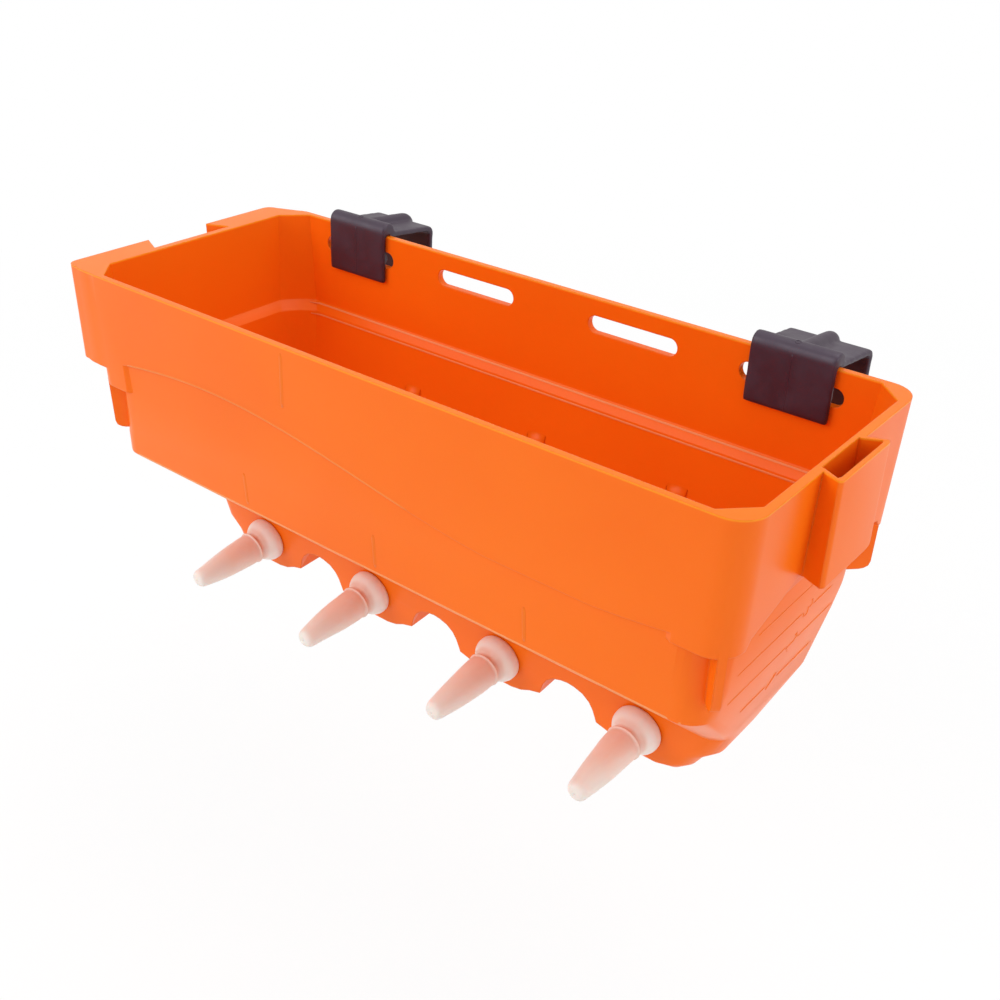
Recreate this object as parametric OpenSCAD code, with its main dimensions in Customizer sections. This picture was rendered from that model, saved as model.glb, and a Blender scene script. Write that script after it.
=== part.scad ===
// Hang-on milk feeder trough for lambs and kids: one moulded trough, four pull-through teats, two rail hooks.
// Millimetres. Drawn with z = 0 on the rim and y = 0 on the inside of the back wall, -Y to the front, then
// moved so that the origin lies on the hanging rail, midway between the hooks.

/* [Trough] */
// inside length at the rim
trough_l = 472; // [420:1:560]
// inside width at the rim
trough_w = 175.5; // [160:0.5:210]
// rim to the underside of the pods
trough_h = 219; // [212:1:240]
// moulded wall
wall = 3.4; // [2.8:0.1:4.4]
// chamfer inside each rim corner
rim_chamfer = 17.5; // [12:0.5:22]
// vertical corner radius below the band
corner_r = 25; // [18:1:32]
// rim to the inside ledge
ledge_z = 65; // [58:1:70]
// width of the ledge
ledge_w = 4.8; // [3:0.1:7]
// rim to the crease where the front turns under
belly_z = 123.5; // [110:0.5:130]
// rim to the knee of the end walls
knee_z = 156; // [145:1:165]

/* [Band] */
// how far the band stands proud of the end walls
band_t = 1.6; // [1:0.1:3]
// corner radius of the band
band_r = 16; // [12:1:22]
// rim to the bottom of the four corner pads
pad_z = 76; // [72:1:85]
// width of each corner pad along the front
pad_w = 30; // [20:1:40]
// slope of the inner side of each front pad, degrees from square
pad_side = 60; // [0:5:70]
// mean depth of the wave under the front band
wave_z = 63.2; // [58:0.1:66]
// height of the wave to either side of its mean
wave_a = 14; // [6:0.5:16]
// crest of the wave, left of the middle
wave_x = 122; // [60:1:180]
// crest of the wave to its lowest point, along the front
wave_l = 250; // [180:1:320]
// thickness of the four diagonal fins
fin_t = 5; // [3:0.5:7]
// rim to the foot of the fins
fin_z = 110; // [95:1:120]

/* [Pods] */
// centre of the two inner pods from the middle
pod_x1 = 55.2; // [50:0.1:60]
// centre of the two outer pods from the middle
pod_x2 = 158.6; // [150:0.1:164]
// front wall to the face that carries the teats
pod_set = 65.9; // [58:0.1:72]
// height of the teat face above the pod floor
pod_face = 37; // [36:0.5:44]
// draft of the teat face, degrees
face_tilt = 4.3; // [0:0.1:8]
// half width of the arch between two pods
arch_w = 21; // [16:0.5:24]
// pod floor to the top of the arch, at the teat face
arch_h = 27; // [22:0.5:32]
// rise of the arch roof from the teat face to the back
ridge_rise = 82; // [70:1:90]

/* [Coupling] */
// narrowest width of the dovetail
dove_neck = 46; // [38:0.5:54]
// flare of the dovetail sides, degrees
dove_angle = 24; // [12:1:30]
// reach of the dovetail from the end wall
dove_reach = 12.5; // [9:0.5:15]
// height of the dovetail
dove_h = 59; // [40:1:64]
// wall of the open dovetail pocket
dove_wall = 2.6; // [2.2:0.1:4]
// play round the dovetail in its socket, each side
dove_gap = 1.5; // [0.8:0.1:2.5]
// reach of the socket jaws from the band
jaw_reach = 16.5; // [15.5:0.5:20]
// height of the socket jaws
jaw_h = 64; // [50:1:70]
// back wall to the back jaw
jaw_set = 5; // [3:0.5:8]
// coupling centre behind the front rim, inside
dove_y = 86.5; // [75:0.5:95]

/* [Slots] */
// length of each back slot
slot_l = 65; // [60:1:72]
// height of each back slot
slot_h = 11.1; // [10:0.1:13]
// rim to the middle of the slots
slot_z = 16.35; // [14:0.05:20]
// inner slots from the middle
slot_x1 = 62.3; // [55:0.1:70]
// outer slots, and the hooks in them, from the middle
slot_x2 = 169.1; // [160:0.1:172]

/* [Hooks] */
// width of a hook
hook_w = 52.8; // [44:0.2:56]
// rail room between the back wall and the hook's leg
throat = 40; // [30:0.5:50]
// thickness of the plate inside the trough
plate_t = 3.6; // [2.5:0.1:5]
// rim to the foot of that plate
plate_h = 32.7; // [28:0.1:40]
// thickness of the shelf on the rail
shelf_t = 3.6; // [2.5:0.1:5]
// fall of the shelf away from the trough, degrees
shelf_fall = 7; // [0:0.5:10]
// thickness of the outer leg
leg_t = 4; // [3:0.1:6]
// rim to the foot of the outer leg
leg_h = 48; // [40:1:60]
// top of the hump above the rim
hump_h = 9; // [7:0.1:12]
// radius of the stiffening rib
rib_r = 5; // [3.5:0.1:7]
// width of the lug that passes through the slot
lug_w = 50; // [40:0.5:52]
// sliding clearance of the hook on the rim and in the slot
hook_gap = 0.4; // [0.2:0.05:0.8]

/* [Teats] */
// free length of a teat from its flange
teat_l = 64.8; // [50:0.1:75]
// flange radius
flange_r = 15.5; // [14:0.1:16]
// nipple radius at its root
teat_r = 11.5; // [10:0.1:13]
// nipple radius at the tip
tip_r = 6; // [5:0.1:8]
// rubber thickness of the nipple
teat_wall = 2.2; // [1.5:0.1:3]
// hole for the teat in the pod
hole_r = 10; // [8:0.1:11.5]
// radius of the milk hole
milk_r = 1.4; // [0.8:0.1:2]
// clearance of the rubber in and against the pod
teat_gap = 0.1; // [0.05:0.05:0.3]

/* [Hidden] */
$fn = 64;
arc_n = 8;
orange = [0.95, 0.42, 0.12];
rubber = [0.91, 0.76, 0.68];
charcoal = [0.2, 0.18, 0.2];

// outside of the trough: [height, outward distance], from the rim down
end_x = trough_l / 2 + wall;
front_y = trough_w + wall;
face_y = front_y - pod_set;
teat_z = trough_h - 21;
function face_at(z) = face_y + (z + teat_z) * tan(face_tilt);
face_top = -(trough_h - pod_face);
floor_z = -trough_h;
pod_edge = pod_x2 + 27;
end_prof = [
    [1, end_x],
    [0, end_x],
    [-(ledge_z - 1), end_x - 2],
    [-(ledge_z + 5.5), end_x - 2 - ledge_w],
    [-fin_z, end_x - 9.4],
    [-knee_z, end_x - 15.4],
    [floor_z + 24, pod_edge + 22],
    [floor_z + 15.5, pod_edge + 12],
    [floor_z + 8, pod_edge + 7],
    [floor_z + 3, pod_edge + 0.5],
    [floor_z, pod_edge - 10]
];
front_prof = [
    [1, front_y],
    [0, front_y],
    [-50, front_y - 1.3],
    [-belly_z, front_y - 2.9],
    [face_top, face_at(face_top)],
    [floor_z, face_at(floor_z)]
];
back_prof = [
    [1, wall],
    [0, wall],
    [-(ledge_z - 1), wall - 3],
    [-(ledge_z + 5.5), wall - 3 - ledge_w],
    [-106, wall - 13.4],
    [-knee_z, wall - 38.4],
    [floor_z, wall - 71.4]
];
radius_prof = [
    [1, rim_chamfer],
    [0, rim_chamfer],
    [-ledge_z, corner_r - 4],
    [-fin_z + 8, corner_r - 3],
    [-belly_z, corner_r - 8],
    [-knee_z, corner_r - 8],
    [face_top, corner_r - 10],
    [floor_z + 17.5, 11],
    [floor_z, 6]
];
// 1 is a straight chamfer, 0 a round corner
chamfer_prof = [
    [1, 1],
    [0, 1],
    [-ledge_z, 0.7],
    [-fin_z, 0]
];

// moves a profile inward by t, along its own normals
function seg_normal(a, b) = let (d = (b - a) / norm(b - a)) [-d[1], d[0]];
function inset(p, t) = [
    for (i = [0 : len(p) - 1])
        let (
            n1 = seg_normal(p[max(i - 1, 0)], p[max(i, 1)]),
            n2 = seg_normal(p[min(i, len(p) - 2)], p[min(i + 1, len(p) - 1)])
        )
        p[i] + t * (n1 + n2) / (1 + n1 * n2)
];
function sorted(v) = len(v) < 2 ? v : let (
        m = v[floor(len(v) / 2)],
        lo = [for (x = v) if (x < m) x],
        eq = [for (x = v) if (x == m) x],
        hi = [for (x = v) if (x > m) x]
    ) concat(sorted(lo), eq, sorted(hi));
function thinned(v, d) = [for (i = [0 : len(v) - 1]) if (i == 0 || v[i] - v[i - 1] > d) v[i]];

// one closed level of the trough, anticlockwise from above: half length, front, back, corner size, chamfer
function corner_pt(r, c, k) = let (t = k / arc_n, a = 90 * t)
    [r * ((1 - c) * (1 - sin(a)) + c * (1 - t)), r * ((1 - c) * (1 - cos(a)) + c * t)];
function level(x, yf, yb, r, c, z) = concat(
    [for (k = [0 : arc_n]) let (p = corner_pt(r, c, k)) [x - p[0], -yf + p[1], z]],
    [for (k = [0 : arc_n]) let (p = corner_pt(r, c, k)) [x - p[1], yb - p[0], z]],
    [for (k = [0 : arc_n]) let (p = corner_pt(r, c, k)) [-x + p[0], yb - p[1], z]],
    [for (k = [0 : arc_n]) let (p = corner_pt(r, c, k)) [-x + p[1], -yf + p[0], z]]
);

// skin over levels of equal length, listed from the bottom up
module loft(levels) {
    m = len(levels[0]);
    n = len(levels);
    sides = [
        for (i = [0 : n - 2], j = [0 : m - 1])
            let (a = i * m + j, b = i * m + (j + 1) % m)
            each [[a, a + m, b + m], [a, b + m, b]]
    ];
    polyhedron(
        points = [for (l = levels) each l],
        faces = concat([[for (j = [0 : m - 1]) j]], sides, [[for (j = [m - 1 : -1 : 0]) (n - 1) * m + j]]),
        convexity = 8
    );
}

// trough body moved inward by t: 0 is the outside, wall the inside
module body(t) {
    e = inset(end_prof, t);
    f = inset(front_prof, t);
    b = inset(back_prof, t);
    low = floor_z + t;
    top = t == 0 ? 0 : 1;
    marks = [for (p = concat(e, f, b)) if (p[0] > low + 0.5 && p[0] < top - 0.5) p[0]];
    zs = concat([low], thinned(sorted(marks), 0.4), [top]);
    difference() {
        loft([for (z = zs) level(
            lookup(z, e),
            lookup(z, f),
            lookup(z, b),
            max(lookup(z - t, radius_prof) - 0.6 * t, 3),
            lookup(z, chamfer_prof),
            z
        )]);
        for (x = [0, (pod_x1 + pod_x2) / 2, -(pod_x1 + pod_x2) / 2])
            translate([x, 0, 0])
                arch(t);
    }
}

// the roofed gap between two pods, which makes a ridge inside: [drop below the crest, half width]
arch_prof = [
    [0, 0],
    [-0.7, 5],
    [-2.8, arch_w * 0.52],
    [-7, arch_w * 0.75],
    [-12, arch_w * 0.88],
    [-20, arch_w],
    [-45, arch_w + 2],
    [-130, arch_w + 9]
];
crest_z = floor_z + arch_h;
crest_run = 101;
crest_slope = atan(ridge_rise / crest_run);
function crest_at(y) = crest_z + (y + face_y) * tan(crest_slope);
module arch(t) {
    half = inset(arch_prof, -t);
    lift = t * (1 / cos(crest_slope) - 1);
    n = len(half) - 1;
    function ring(y) = concat(
        [[-half[n][1], y, floor_z - 60]],
        [for (i = [n : -1 : 1]) [-half[i][1], y, crest_at(y) + half[i][0] + lift]],
        [[0, y, crest_at(y) + half[0][0] + lift]],
        [for (i = [1 : n]) [half[i][1], y, crest_at(y) + half[i][0] + lift]],
        [[half[n][1], y, floor_z - 60]]
    );
    y0 = -face_y - 16;
    y1 = 26;
    m = 2 * n + 3;
    polyhedron(
        points = concat(ring(y0), ring(y1)),
        faces = concat(
            [[for (j = [0 : m - 1]) j]],
            [for (j = [0 : m - 1]) let (k = (j + 1) % m) each [[j, j + m, k + m], [j, k + m, k]]],
            [[for (j = [m - 1 : -1 : 0]) m + j]]
        ),
        convexity = 4
    );
    // rounds the pod floors away from the arch
    translate([0, -face_y + 100, t])
        rotate([90, 0, 0])
            linear_extrude(height = 140)
                polygon([
                    [-44, floor_z - 20],
                    [-44, floor_z],
                    [-36, floor_z + 1.5],
                    [-29, floor_z + 4.8],
                    [-arch_w, floor_z + 7],
                    [arch_w, floor_z + 7],
                    [29, floor_z + 4.8],
                    [36, floor_z + 1.5],
                    [44, floor_z],
                    [44, floor_z - 20]
                ]);
}

// outer skirt of the rim
band_x = end_x + band_t;
band_f = front_y + 0.5;
band_b = wall + 0.8;
band_low = pad_z;
function band_level(z, t) = level(
    band_x - 2.6 * (-z / band_low) - t,
    band_f - 0.3 * (-z / band_low) - t,
    band_b - 1.4 * (-z / band_low) - t,
    band_r - 0.6 * t,
    0,
    z
);
pad_x = band_x - 2.6 - pad_w;
function wave(x) = -wave_z + wave_a * cos(180 * (x + wave_x) / wave_l);

module front_edge() {
    translate([0, -front_y + 12, 0])
        rotate([90, 0, 0])
            linear_extrude(height = 30)
                polygon(concat(
                    [for (i = [0 : 40]) let (x = -pad_x - 2 + i * (pad_x + 2) / 20) [x, wave(x)]],
                    [[pad_x + 2, -band_low - 20], [-pad_x - 2, -band_low - 20]]
                ));
}

module pad_sides() {
    y0 = -band_f - 1;
    y1 = -front_y + 12;
    x0 = pad_x + tan(pad_side);
    x1 = pad_x - tan(pad_side) * (y1 + band_f);
    translate([0, 0, -band_low - 20])
        linear_extrude(height = band_low + 20)
            polygon([[-x0, y0], [x0, y0], [x1, y1], [-x1, y1]]);
}

module end_edge() {
    mid = -front_y + wall + dove_y;
    near = dove_neck / 2 + 3;
    rotate([90, 0, 90])
        linear_extrude(height = 30)
            polygon([
                [-front_y + band_r + 1, -band_low - 20],
                [-front_y + band_r + 1, -band_low],
                [-front_y + band_r + 5, -band_low + 5],
                [mid - near, -dove_h + 1],
                [mid + near, -dove_h + 1],
                [wall - band_r - 5, -band_low + 5],
                [wall - band_r - 1, -band_low],
                [wall - band_r - 1, -band_low - 20]
            ]);
}

module fin() {
    rotate([90, 0, 0])
        linear_extrude(height = fin_t, center = true)
            polygon([
                [0, -8],
                [band_r - 4, -8],
                [band_r, -band_low + 2],
                [band_r - 0.6, -fin_z + 5],
                [band_r - 1.6, -fin_z + 2],
                [band_r - 4, -fin_z + 0.6],
                [band_r - 7, -fin_z],
                [0, -fin_z]
            ]);
}

module at_corners() {
    for (s = [1, -1])
        scale([s, 1, 1]) {
            translate([band_x - 2.6 - band_r, -band_f + 0.3 + band_r, 0])
                rotate(-45)
                    children();
            translate([band_x - 2.6 - band_r, band_b - 1.4 - band_r, 0])
                rotate(45)
                    children();
        }
}

module band() {
    difference() {
        loft([band_level(-band_low, 0), band_level(0, 0)]);
        intersection() {
            front_edge();
            pad_sides();
        }
        translate([0, 0, -band_low - 20])
            translate([-pad_x, -14, 0])
                cube([2 * pad_x, 30, band_low + 20 - dove_h + 1]);
        for (s = [0, 1])
            mirror([s, 0, 0])
                translate([end_x - 9, 0, 0])
                    end_edge();
        intersection() {
            loft([band_level(-band_low - 1, wall), band_level(-wall, wall)]);
            at_corners()
                translate([0, -11, -band_low - 2])
                    cube([band_r, 22, band_low + 2]);
        }
    }
    at_corners()
        fin();
}

// dovetail and its socket
mid_y = -trough_w + dove_y;
function dove_half(d) = dove_neck / 2 + d * tan(dove_angle);
module dove_plan(t) {
    r = 3;
    w0 = dove_half(0) - t;
    w1 = dove_half(dove_reach) - t;
    d = dove_reach - t;
    polygon(concat(
        [[-4, -w0], [0, -w0]],
        [for (a = [-70 : 23.3 : 0]) [d - r + r * cos(a), -w1 + r * 1.3 + r * sin(a)]],
        [for (a = [0 : 23.3 : 70]) [d - r + r * cos(a), w1 - r * 1.3 + r * sin(a)]],
        [[0, w0], [-4, w0]]
    ));
}

module dovetail() {
    foot = 8;
    translate([band_x - 1, mid_y, 0])
        intersection() {
            translate([0, 0, -dove_h])
                linear_extrude(height = dove_h)
                    dove_plan(0);
            rotate([90, 0, 90])
                linear_extrude(height = 60, center = true)
                    polygon(concat(
                        [[-60, 1], [-60, -dove_h]],
                        [for (a = [-90 : 15 : 0]) [
                            dove_half(dove_reach) - foot + foot * cos(a),
                            -dove_h + foot + foot * sin(a)
                        ]],
                        [[dove_half(dove_reach), 1]]
                    ));
        }
}

module dove_pocket() {
    w0 = dove_half(0) - dove_wall;
    w1 = dove_half(dove_reach) - dove_wall - 1;
    d = dove_reach - dove_wall;
    translate([band_x - 1, mid_y, -dove_h + dove_wall])
        linear_extrude(height = dove_h)
            polygon([[-1.4, -w0], [0, -w0], [d - 1, -w1], [d, -w1 + 2], [d, w1 - 2], [d - 1, w1], [0, w0], [-1.4, w0]]);
}

// jaws of the socket, on the other end
function socket_half(d) = dove_half(0) + dove_gap + (jaw_reach - d) * tan(dove_angle);
module jaws() {
    x0 = -band_x;
    x1 = -band_x - jaw_reach;
    y0 = -band_f;
    y1 = -jaw_set;
    translate([0, 0, -jaw_h])
        linear_extrude(height = jaw_h) {
            polygon(concat(
                [[x0 + 8, y0 + 12], [x0 + band_r + 8, y0 + 3.5]],
                [[x0 + band_r + 4, y0 + 0.5], [x0 + 7, y0 + 0.3], [x0 - 2, y0 + 0.7]],
                [for (a = [-80 : -20 : -180]) [x1 + 7 + 7 * cos(a), y0 + 9 + 7 * sin(a)]],
                [
                    [x1, mid_y - socket_half(jaw_reach)],
                    [x0, mid_y - socket_half(0)],
                    [x0 + 8, mid_y - socket_half(0)]
                ]
            ));
            polygon(concat(
                [[x0 + 10, band_b - 1.6], [x0 + 14, band_b - 6], [x0 + 8, y1 - 6]],
                [[x0 + 8, mid_y + socket_half(0)], [x0, mid_y + socket_half(0)]],
                [[x1, mid_y + socket_half(jaw_reach)]],
                [for (a = [180 : -22.5 : 90]) [x1 + 7 + 7 * cos(a), y1 - 7 + 7 * sin(a)]]
            ));
        }
}

module jaw_cores() {
    x0 = -band_x - wall * 0.9;
    x1 = -band_x - jaw_reach + wall;
    side = socket_half(2) + wall;
    translate([0, 0, -jaw_h - 1])
        linear_extrude(height = jaw_h + 1 - wall) {
            translate([x1, -band_f + wall + 4])
                square([x0 - x1, mid_y - side + band_f - wall - 4]);
            translate([x1, mid_y + side])
                square([x0 - x1, -jaw_set - wall - 4 - mid_y - side]);
        }
}

module stadium(l, h) {
    square([l - h, h], center = true);
    for (s = [1, -1])
        translate([s * (l - h) / 2, 0])
            circle(h / 2);
}

module slots() {
    for (x = [slot_x1, slot_x2, -slot_x1, -slot_x2])
        translate([x, 14, -slot_z])
            rotate([90, 0, 0])
                linear_extrude(height = 30)
                    stadium(slot_l, slot_h);
}

// frame of a teat: z along its axis, away from the pod, 0 on the teat face
pod_list = [-pod_x2, -pod_x1, pod_x1, pod_x2];
module at_teat(x) {
    translate([x, -face_y, -teat_z])
        rotate([90 + face_tilt, 0, 0])
            children();
}

// the moulding without its round holes: one faceted skin
module moulding() {
    minkowski()
        difference() {
            union() {
                body(0);
                band();
                dovetail();
                jaws();
            }
            body(wall);
            dove_pocket();
            jaw_cores();
        }
}

module trough() {
    color(orange)
        difference() {
            moulding();
            slots();
            for (x = pod_list)
                at_teat(x)
                    translate([0, 0, -14])
                        cylinder(r = hole_r, h = 28);
            for (x = pod_list)
                at_teat(x)
                    cylinder(r = flange_r + 1, h = 20);
        }
}

// pull-through teat: collar inside the pod, neck in the hole, flange and nipple outside
module teat(x) {
    neck = hole_r - teat_gap;
    back = -wall - teat_gap;
    lip = teat_gap;
    dome = 5.6;
    color(rubber)
        at_teat(x)
            rotate_extrude()
                polygon(concat(
                    [
                        [neck - 3.2, back - 6],
                        [neck + 0.6, back - 6],
                        [flange_r - 2.2, back - 2.6],
                        [flange_r - 1.6, back - 1],
                        [flange_r - 2, back],
                        [neck, back],
                        [neck, lip],
                        [flange_r - 0.6, lip],
                        [flange_r, lip + 0.8],
                        [flange_r - 0.1, lip + 1.8],
                        [flange_r - 1.3, lip + 3.2],
                        [flange_r - 3, lip + 4.6],
                        [teat_r - 0.2, lip + dome],
                        [teat_r - 1.2, lip + dome + 0.7],
                        [teat_r - 1.1, lip + dome + 1.5],
                        [teat_r + 0.7, lip + dome + 2.1],
                        [teat_r + 0.9, lip + dome + 3],
                        [teat_r + 0.4, lip + dome + 3.7],
                        [teat_r, lip + dome + 4.3]
                    ],
                    [[tip_r + 0.9, teat_l - 8]],
                    [for (a = [8 : 16 : 72]) [tip_r - 3.4 + 4.2 * cos(a), teat_l - 4.2 + 4.2 * sin(a)]],
                    [
                        [milk_r + 0.6, teat_l],
                        [milk_r, teat_l - 0.4],
                        [milk_r, teat_l - 2.4],
                        [tip_r - teat_wall, teat_l - 5],
                        [tip_r + 0.9 - teat_wall, teat_l - 9],
                        [teat_r - teat_wall, lip + dome + 6],
                        [neck - 3.2, lip + 2]
                    ]
                ));
}

// hook: profile in y and z, drawn over the rim
draft_b = 3 / (ledge_z - 1);
back_in = -hook_gap;
back_out = band_b + hook_gap;
shelf_z = -1.2;
hump_y = back_in - plate_t + 6.4;
function under(y) = shelf_z - (y - back_out) * tan(shelf_fall);
function upper(y) = under(y) + shelf_t / cos(shelf_fall);
leg_in = back_out + throat;
leg_foot = leg_in - (leg_h - 6) * tan(shelf_fall) * 0.6;
leg_out = leg_in + leg_t;
plate_in = back_in - plate_h * draft_b;

module hook_profile() {
    hr = 6.4;
    hy = back_in - plate_t + hr;
    hz = hump_h - hr;
    cr = 5;
    foot_y = hy + hr + 4.6;
    polygon(concat(
        [
            [back_in, hook_gap],
            [plate_in, -plate_h],
            [plate_in - plate_t * 0.8, -plate_h],
            [plate_in - plate_t, -plate_h + 1.2]
        ],
        [for (a = [180 : -15 : 30]) [hy + hr * cos(a), hz + hr * sin(a)]],
        [for (a = [210 : 15 : 255]) [foot_y - 1.2 + 5 * cos(a), upper(foot_y) + 5 + 5 * sin(a)]],
        [for (a = [90 - shelf_fall : -16.5 : 0]) [leg_out - cr + cr * cos(a), upper(leg_out - cr) - cr + cr * sin(a)]],
        [
            [leg_foot + leg_t, -leg_h + 1.2],
            [leg_foot + leg_t - 1.2, -leg_h],
            [leg_foot + 1.2, -leg_h],
            [leg_foot, -leg_h + 1.2],
            [leg_in, under(leg_in) - 2],
            [leg_in - 0.6, under(leg_in) - 0.6],
            [leg_in - 2, under(leg_in - 2)],
            [back_out, under(back_out)],
            [back_out, hook_gap]
        ]
    ));
}

module throat_profile() {
    polygon([
        [leg_foot, -leg_h + 1.2],
        [leg_foot, -leg_h - 30],
        [back_out - 2, -leg_h - 30],
        [back_out - 2, -2],
        [back_out, under(back_out)],
        [leg_in - 2, under(leg_in - 2)],
        [leg_in - 0.6, under(leg_in) - 0.6],
        [leg_in, under(leg_in) - 2]
    ]);
}

// the lug is ramped below, so that it clicks into the slot from inside the trough
module lug() {
    intersection() {
        rotate([90, 0, 90])
            linear_extrude(height = lug_w, center = true)
                polygon([
                    [plate_in - 1, -slot_z - slot_h / 2 + hook_gap],
                    [-hook_gap, -slot_z - slot_h / 2 + hook_gap],
                    [wall - 0.6, -slot_z + 1],
                    [wall - 0.6, -slot_z + slot_h / 2 - hook_gap],
                    [plate_in - 1, -slot_z + slot_h / 2 - hook_gap]
                ]);
        translate([0, 10, -slot_z])
            rotate([90, 0, 0])
                linear_extrude(height = 20)
                    stadium(lug_w, slot_h - 2 * hook_gap);
    }
}

// rounded rib, swept over the shelf, round the corner and down the leg: [y, z, heading in degrees, size]
module rib() {
    low = 2;
    cr = 5;
    cy = leg_out - cr;
    cz = upper(cy) - cr;
    lean = atan((leg_in - leg_foot) / (leg_h - 8));
    ys = hump_y + 2;
    yt = leg_foot + leg_t;
    zt = -leg_h + 9;
    path = concat(
        [[ys, upper(ys), -shelf_fall, 1]],
        [for (a = [-shelf_fall, -25, -45, -65, -90 - lean]) [cy - cr * sin(a), cz + cr * cos(a), a, 1]],
        [
            [yt + 0.4, zt + 4, -90 - lean, 1],
            [yt, zt + 1.4, -90 - lean, 0.85],
            [yt - 0.2, zt, -90 - lean, 0.5]
        ]
    );
    loft([for (q = path) [for (b = [0 : 22.5 : 337.5])
        let (
            w = rib_r * q[3] * cos(b),
            h = (b > 180 ? low : rib_r * 0.9) * q[3] * sin(b)
        )
        [-w, q[0] - h * sin(q[2]), q[1] + h * cos(q[2])]
    ]]);
}

module hook(x) {
    color(charcoal)
        translate([x, 0, 0])
            difference() {
                union() {
                    rotate([90, 0, 90])
                        linear_extrude(height = hook_w, center = true)
                            hook_profile();
                    lug();
                    rib();
                }
                rotate([90, 0, 90])
                    linear_extrude(height = hook_w - 2, center = true)
                        throat_profile();
            }
}

// origin on the rail: middle of the hook throat, on the underside of the shelf
rail_y = back_out + throat / 2;
rail_z = under(rail_y);
module on_rail() {
    translate([0, -rail_y, -rail_z])
        children();
}

module teat_1() { on_rail() teat(-pod_x2); }
module teat_2() { on_rail() teat(-pod_x1); }
module teat_3() { on_rail() teat(pod_x1); }
module teat_4() { on_rail() teat(pod_x2); }
module hook_left() { on_rail() hook(-slot_x2); }
module hook_right() { on_rail() hook(slot_x2); }

on_rail() trough();
teat_1();
teat_2();
teat_3();
teat_4();
hook_left();
hook_right();
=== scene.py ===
"""Looks of the hang-on lamb feeder: moulded trough, four pull-through teats, two slot-in hooks.

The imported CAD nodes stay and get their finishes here. The fine moulded detail that the solids
leave out is added as raised beads that follow the CAD surfaces. Metres, same frame as the CAD.
"""
import logging
import math
from dataclasses import dataclass, field
from enum import Enum
from typing import Iterable, Optional, Sequence

import bmesh
import bpy
from mathutils import Matrix, Vector, noise
from mathutils.bvhtree import BVHTree


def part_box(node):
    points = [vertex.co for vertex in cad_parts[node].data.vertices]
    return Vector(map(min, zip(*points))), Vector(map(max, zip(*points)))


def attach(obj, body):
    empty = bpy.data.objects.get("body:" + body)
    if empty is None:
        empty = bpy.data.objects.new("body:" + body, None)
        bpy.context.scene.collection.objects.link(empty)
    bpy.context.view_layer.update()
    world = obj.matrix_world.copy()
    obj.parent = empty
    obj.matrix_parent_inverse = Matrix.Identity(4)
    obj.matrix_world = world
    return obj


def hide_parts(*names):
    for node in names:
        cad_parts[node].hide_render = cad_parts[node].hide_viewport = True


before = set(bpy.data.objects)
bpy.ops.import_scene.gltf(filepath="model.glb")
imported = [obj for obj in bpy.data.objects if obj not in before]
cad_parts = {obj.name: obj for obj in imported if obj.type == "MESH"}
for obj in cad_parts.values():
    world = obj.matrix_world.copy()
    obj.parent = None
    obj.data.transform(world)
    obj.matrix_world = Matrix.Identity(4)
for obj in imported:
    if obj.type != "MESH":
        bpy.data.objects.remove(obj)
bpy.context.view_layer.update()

log = logging.getLogger("feeder")

MM = 0.001
# the fitted drawing has the rim at height 0 and the inner back wall at y 0
RAIL_SHIFT = Vector((0.0, -24.6 * MM, 3.656 * MM))
WHITE = (1.0, 1.0, 1.0, 1.0)
SENSOR_MM = 36.0
# about how far each teat's tip leans along the row, teats 1 to 4, in millimetres
LEANS = (-0.9, 0.8, -0.3, 0.6)

Colour = tuple[float, float, float]
Station = tuple[Vector, Vector]
Stroke = Sequence[tuple[float, float]]


class Slot(Enum):
    """Material slots named in the record."""

    TROUGH = "trough_plastic"
    TEAT = "teat_rubber"
    HOOK = "hook_plastic"


class Side(Enum):
    """The two hooks, with their centre along the back wall in metres."""

    LEFT = -0.1691
    RIGHT = 0.1691

    @property
    def body(self) -> str:
        """Name of the hook's CAD node and body."""
        return "hook_" + self.name.lower()


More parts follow.
